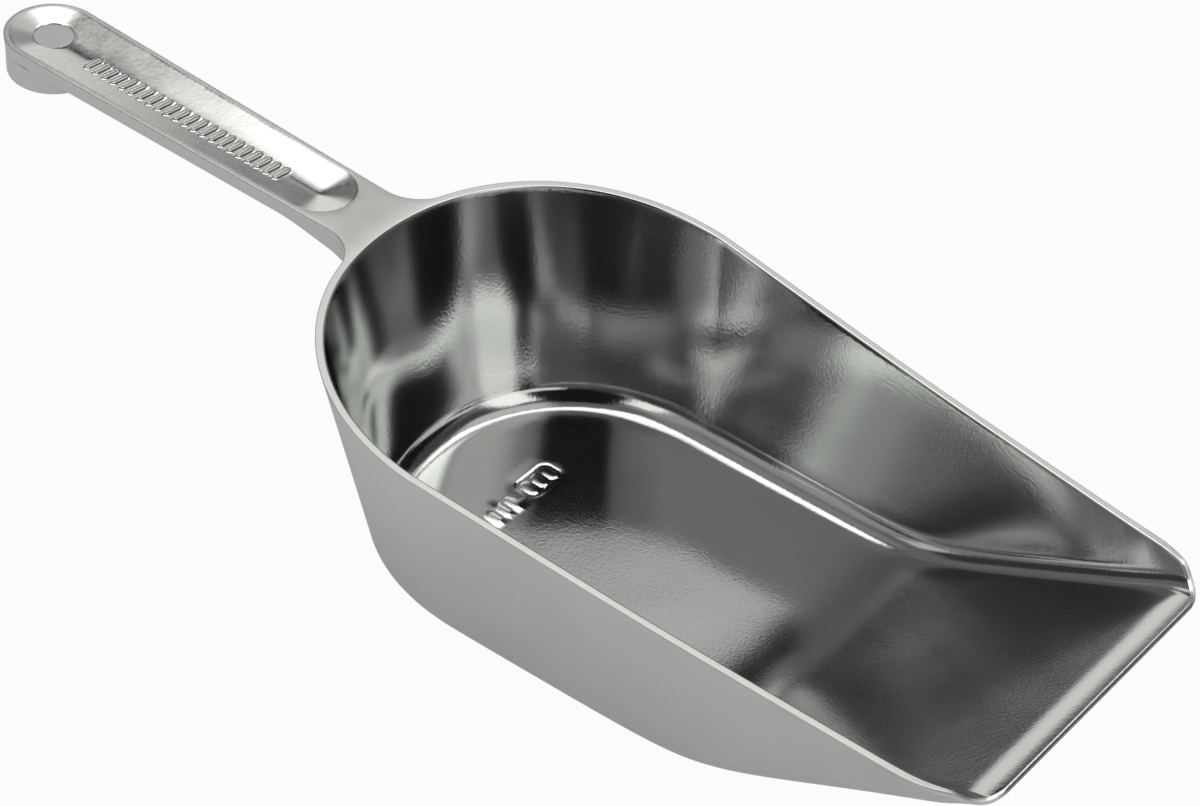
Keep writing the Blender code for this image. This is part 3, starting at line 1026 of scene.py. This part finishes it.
# ------------------------------------------------------------------- materials
class Nodes:
    """A few helpers that keep the node set-ups readable."""

    def __init__(self, name):
        self.mat = bpy.data.materials.new(name)
        self.mat.use_nodes = True
        self.t = self.mat.node_tree
        self.bsdf = self.t.nodes["Principled BSDF"]
        self.bsdf.inputs["Metallic"].default_value = 1.0
        self.coord = self.t.nodes.new("ShaderNodeTexCoord").outputs["Object"]

    def link(self, a, b):
        self.t.links.new(a, b)

    def noise(self, stretch, scale, detail=4.0, rough=0.55, turn=0.0):
        m = self.t.nodes.new("ShaderNodeMapping")
        m.inputs["Scale"].default_value = stretch
        m.inputs["Rotation"].default_value = (0, 0, turn)
        self.link(self.coord, m.inputs["Vector"])
        n = self.t.nodes.new("ShaderNodeTexNoise")
        n.inputs["Scale"].default_value = scale
        n.inputs["Detail"].default_value = detail
        n.inputs["Roughness"].default_value = rough
        self.link(m.outputs["Vector"], n.inputs["Vector"])
        return n.outputs["Fac"]

    def span(self, value, a, b, lo=0.3, hi=0.7):
        m = self.t.nodes.new("ShaderNodeMapRange")
        m.inputs["From Min"].default_value = lo
        m.inputs["From Max"].default_value = hi
        m.inputs["To Min"].default_value = a
        m.inputs["To Max"].default_value = b
        self.link(value, m.inputs["Value"])
        return m.outputs["Result"]

    def math(self, op, a, b):
        m = self.t.nodes.new("ShaderNodeMath")
        m.operation = op
        for i, v in enumerate((a, b)):
            if isinstance(v, (int, float)):
                m.inputs[i].default_value = v
            else:
                self.link(v, m.inputs[i])
        return m.outputs[0]

    def colour(self, value, a, b, lo=0.3, hi=0.7):
        r = self.t.nodes.new("ShaderNodeMix")
        r.data_type = 'RGBA'
        self.link(self.span(value, 0, 1, lo, hi), r.inputs["Factor"])
        r.inputs[6].default_value = (*a, 1)
        r.inputs[7].default_value = (*b, 1)
        return r.outputs[2]

    def bump(self, layers):
        """layers of (height output, strength, distance in metres)."""
        last = None
        for height, strength, dist in layers:
            b = self.t.nodes.new("ShaderNodeBump")
            b.inputs["Strength"].default_value = strength
            b.inputs["Distance"].default_value = dist
            self.link(height, b.inputs["Height"])
            if last is not None:
                self.link(last, b.inputs["Normal"])
            last = b.outputs["Normal"]
        self.link(last, self.bsdf.inputs["Normal"])

    def set(self, name, value):
        if isinstance(value, (int, float)):
            self.bsdf.inputs[name].default_value = value
        else:
            self.link(value, self.bsdf.inputs[name])


def finish_polished():
    m = Nodes("polished_aluminium")
    speck = m.noise((1, 1, 1), 1300, 3, 0.6)
    drawn = m.noise((1, 5, 5), 520, 3)
    cloud = m.noise((1, 1, 1), 26, 3)
    wave = m.noise((1, 1, 1), 38, 1)
    m.set("Base Color", m.colour(cloud, (0.67, 0.685, 0.675), (0.72, 0.73, 0.72)))
    m.set("Roughness", m.math("ADD", m.span(cloud, 0.08, 0.12), m.span(drawn, -0.01, 0.02)))
    m.bump([(wave, 0.25, 0.0005), (drawn, 0.2, 0.00001), (speck, 1.0, 0.00002)])
    return m.mat


def finish_ground():
    m = Nodes("ground_aluminium")
    grain = m.noise((1, 9, 9), 600, 4, turn=0.5)
    cloud = m.noise((1, 1, 1), 60, 3)
    m.set("Base Color", m.colour(cloud, (0.77, 0.77, 0.76), (0.85, 0.85, 0.84)))
    m.set("Roughness", m.math("ADD", m.span(cloud, 0.36, 0.44), m.span(grain, -0.04, 0.04)))
    m.bump([(grain, 0.35, 0.00003)])
    return m.mat


def finish_outside():
    m = Nodes("satin_aluminium")
    speck = m.noise((1, 1, 1), 1500, 3)
    cloud = m.noise((1, 1, 1), 34, 4)
    m.set("Base Color", m.colour(cloud, (0.78, 0.785, 0.775), (0.84, 0.84, 0.83)))
    m.set("Roughness", m.math("ADD", m.span(cloud, 0.40, 0.48), m.span(speck, -0.04, 0.05)))
    m.bump([(cloud, 0.12, 0.0004), (speck, 0.22, 0.00004)])
    return m.mat


def finish_dish():
    m = Nodes("dish_aluminium")
    speck = m.noise((1, 1, 1), 900, 3)
    cloud = m.noise((1, 1, 1), 80, 3)
    m.set("Base Color", m.colour(cloud, (0.84, 0.845, 0.835), (0.92, 0.92, 0.91)))
    m.set("Roughness", m.math("ADD", m.span(cloud, 0.13, 0.19), m.span(speck, -0.02, 0.03)))
    m.bump([(cloud, 0.10, 0.0003), (speck, 0.25, 0.00003)])
    return m.mat


def finish_pad():
    m = Nodes("matte_aluminium")
    grain = m.noise((10, 1, 10), 900, 3, turn=0.3)
    cloud = m.noise((1, 1, 1), 160, 3)
    m.set("Base Color", m.colour(cloud, (0.68, 0.68, 0.68), (0.76, 0.76, 0.76)))
    m.set("Roughness", m.span(cloud, 0.50, 0.58))
    m.bump([(grain, 0.3, 0.00003)])
    return m.mat


outside = finish_outside()
for material in (finish_polished(), finish_ground(), outside, finish_dish()):
    casting.data.materials.append(material)
boss.data.materials.append(outside)
pad.data.materials.append(finish_pad())

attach(casting, "root")
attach(boss, "root")
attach(pad, "root")
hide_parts("bowl", "handle")
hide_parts("end_boss")
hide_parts("end_pad")

# ---------------------------------------------------------------------- stage
def stage_floor():
    b = bmesh.new()
    bmesh.ops.create_grid(b, x_segments=8, y_segments=8, size=0.9)
    data = bpy.data.meshes.new("floor")
    b.to_mesh(data)
    b.free()
    obj = bpy.data.objects.new("floor", data)
    obj.location = (0, 0, -0.0001)
    bpy.context.scene.collection.objects.link(obj)
    mat = bpy.data.materials.new("floor_paper")
    mat.use_nodes = True
    bsdf = mat.node_tree.nodes["Principled BSDF"]
    bsdf.inputs["Base Color"].default_value = (0.9, 0.9, 0.9, 1)
    bsdf.inputs["Roughness"].default_value = 0.9
    # a back-lit paper: seen straight on it is near white
    t = mat.node_tree
    glow = t.nodes.new("ShaderNodeEmission")
    glow.inputs["Strength"].default_value = 1.0
    path = t.nodes.new("ShaderNodeLightPath")
    share = t.nodes.new("ShaderNodeMath")
    share.operation = 'MULTIPLY_ADD'
    share.inputs[1].default_value = 0.76
    share.inputs[2].default_value = 0.19
    mix = t.nodes.new("ShaderNodeMixShader")
    t.links.new(path.outputs["Is Camera Ray"], share.inputs[0])
    t.links.new(share.outputs[0], mix.inputs[0])
    t.links.new(bsdf.outputs[0], mix.inputs[1])
    t.links.new(glow.outputs[0], mix.inputs[2])
    t.links.new(mix.outputs[0], t.nodes["Material Output"].inputs["Surface"])
    obj.data.materials.append(mat)
    return obj


floor = stage_floor()

# --------------------------------------------------------------------- camera
def place_camera():
    scale = 1.16380346589511 * MM
    f = 3509.928
    az, el, tilt = map(math.radians, (-35.6870, 39.518, 3.860))
    back = Vector((-math.sin(az) * math.cos(el), -math.cos(az) * math.cos(el), math.sin(el)))
    forward = -back
    right = forward.cross(Vector((0, 0, 1))).normalized()
    up = right.cross(forward)
    r = right * math.cos(tilt) + up * math.sin(tilt)
    u = up * math.cos(tilt) - right * math.sin(tilt)
    u0, v0, dist = 562.683, 518.020, 707.104
    c = forward * -dist - r * ((u0 - 600) * dist / f) + u * ((v0 - 403) * dist / f)
    c = c * scale + Vector((0, 0, WALL))
    data = bpy.data.cameras.new("camera")
    data.sensor_fit = 'HORIZONTAL'
    data.sensor_width = 36
    data.lens = 36 * f / 1200
    data.clip_start, data.clip_end = 0.05, 20
    obj = bpy.data.objects.new("camera", data)
    obj.matrix_world = Matrix(((r.x, u.x, back.x, c.x), (r.y, u.y, back.y, c.y),
                               (r.z, u.z, back.z, c.z), (0, 0, 0, 1)))
    bpy.context.scene.collection.objects.link(obj)
    bpy.context.scene.camera = obj


place_camera()

# ---------------------------------------------------------------------- light
class Studio:
    """A grey tent with soft-edged light panels and dark flags, by direction.

    Azimuth 0 is +Y and 90 is +X. Later cards cover earlier ones."""

    def __init__(self, level):
        self.world = bpy.data.worlds.new("studio")
        bpy.context.scene.world = self.world
        self.world.use_nodes = True
        self.world.cycles.sampling_method = 'MANUAL'
        self.world.cycles.sample_map_resolution = 1024
        self.t = self.world.node_tree
        coord = self.t.nodes.new("ShaderNodeTexCoord").outputs["Generated"]
        parts = self.t.nodes.new("ShaderNodeSeparateXYZ")
        self.t.links.new(coord, parts.inputs[0])
        self.x, self.y, self.z = parts.outputs
        self.el = self.maths('MULTIPLY', self.maths('ARCSINE', self.z), 180 / math.pi)
        self.value = level

    def maths(self, op, a, b=None, c=None):
        n = self.t.nodes.new("ShaderNodeMath")
        n.operation = op
        for i, v in enumerate((a, b, c)):
            if v is None:
                continue
            if isinstance(v, (int, float)):
                n.inputs[i].default_value = v
            else:
                self.t.links.new(v, n.inputs[i])
        return n.outputs[0]

    def window(self, value, half, edge):
        """1 where |value| is below half, with a soft edge."""
        m = self.t.nodes.new("ShaderNodeMapRange")
        m.interpolation_type = 'SMOOTHSTEP'
        m.inputs["From Min"].default_value = half + edge
        m.inputs["From Max"].default_value = half - edge
        self.t.links.new(self.maths('ABSOLUTE', value), m.inputs["Value"])
        return m.outputs["Result"]

    def paint(self, mask, level):
        m = self.t.nodes.new("ShaderNodeMix")
        self.t.links.new(mask, m.inputs["Factor"])
        if isinstance(self.value, (int, float)):
            m.inputs[2].default_value = self.value
        else:
            self.t.links.new(self.value, m.inputs[2])
        m.inputs[3].default_value = level
        self.value = m.outputs[0]

    def card(self, azimuth, elevation, half_width, half_height, edge, level, lean=0.0):
        """lean shifts the card sideways, in degrees per degree of height."""
        a = math.radians(azimuth)
        along = self.maths('ADD', self.maths('MULTIPLY', self.x, math.sin(a)),
                           self.maths('MULTIPLY', self.y, math.cos(a)))
        across = self.maths('SUBTRACT', self.maths('MULTIPLY', self.x, math.cos(a)),
                            self.maths('MULTIPLY', self.y, math.sin(a)))
        turn = self.maths('MULTIPLY', self.maths('ARCTAN2', across, along), 180 / math.pi)
        up = self.maths('SUBTRACT', self.el, elevation)
        if lean:
            turn = self.maths('SUBTRACT', turn, self.maths('MULTIPLY', up, lean))
        self.paint(self.maths('MULTIPLY', self.window(turn, half_width, edge),
                              self.window(up, half_height, edge)), level)

    def ceiling(self, azimuth, along, across, half_long, half_wide, edge, level):
        """A flat panel overhead, one unit up, turned to azimuth."""
        a = math.radians(azimuth)
        z = self.maths('MAXIMUM', self.z, 0.02)
        px, py = self.maths('DIVIDE', self.x, z), self.maths('DIVIDE', self.y, z)
        e1 = self.maths('ADD', self.maths('MULTIPLY', px, math.sin(a)), self.maths('MULTIPLY', py, math.cos(a)))
        e2 = self.maths('SUBTRACT', self.maths('MULTIPLY', px, math.cos(a)), self.maths('MULTIPLY', py, math.sin(a)))
        self.paint(self.maths('MULTIPLY', self.window(self.maths('SUBTRACT', e1, along), half_long, edge),
                              self.window(self.maths('SUBTRACT', e2, across), half_wide, edge)), level)

    def finish(self, tint):
        bg = self.t.nodes["Background"]
        c = self.t.nodes.new("ShaderNodeVectorMath")
        c.operation = 'SCALE'
        c.inputs[0].default_value = tint
        self.t.links.new(self.value, c.inputs["Scale"])
        self.t.links.new(c.outputs[0], bg.inputs["Color"])


tent = Studio(0.15)
tent.card(0, -50, 200, 52, 4, 0.10)                  # under the horizon
tent.card(-15, 46, 33, 10, 3, 0.55)                  # back wall, upper part
tent.card(-15, 31, 28, 6, 4, 0.32)                   # back wall, lower part
tent.card(-60, 49, 7, 11, 3, 0.08, lean=-2.0)        # edge of the back wall
tent.card(-68, 36, 6, 7, 4, 0.80)                    # back, left
tent.card(-47, 4, 13, 7, 2, 0.06)                    # back, at the horizon
tent.card(-45, 19.5, 9.5, 7, 2.5, 0.80)              # back, low
tent.card(-43, 35.5, 8, 4.5, 1.5, 0.02)              # gap between them
tent.card(-111, 24, 13, 9, 3, 0.04)                  # left, low
tent.card(-133, 27, 7.5, 10, 1.5, 0.55)              # left strip
tent.card(-162, 42, 18, 20, 6, 0.34)                 # left of the camera
tent.card(45, 40, 34, 10, 4, 0.06)                   # right, far
tent.card(60, 60, 26, 8, 4, 0.22)                    # right, high
tent.card(28, 9, 23, 7, 3, 0.015)                    # right, low
tent.card(75, 7, 24, 4, 2, 0.30)                     # right, low strip
tent.card(140, 43, 32, 31, 3, 0.008)                 # the dark round the camera
tent.card(94, 33, 13, 23, 2, 1.20)                   # side panel
tent.card(118, 17, 14, 5, 2, 0.90)                   # its lower extension
tent.card(-176, 39, 10, 13, 3, 1.10)                 # small panel by the camera
tent.ceiling(35, 0.48, 0.16, 0.34, 0.2, 0.06, 0.60)
tent.card(-33, 61.5, 31, 9, 3, 1.95)                 # panel over the back wall
tent.card(-125, 60, 24, 8, 5, 0.25)                  # high, left
tent.ceiling(35, 0.235, -0.34, 0.50, 0.25, 0.04, 1.65)
tent.finish((1.0, 1.0, 0.975))

bpy.context.scene.view_settings.view_transform = 'Standard'
bpy.context.scene.view_settings.look = 'None'
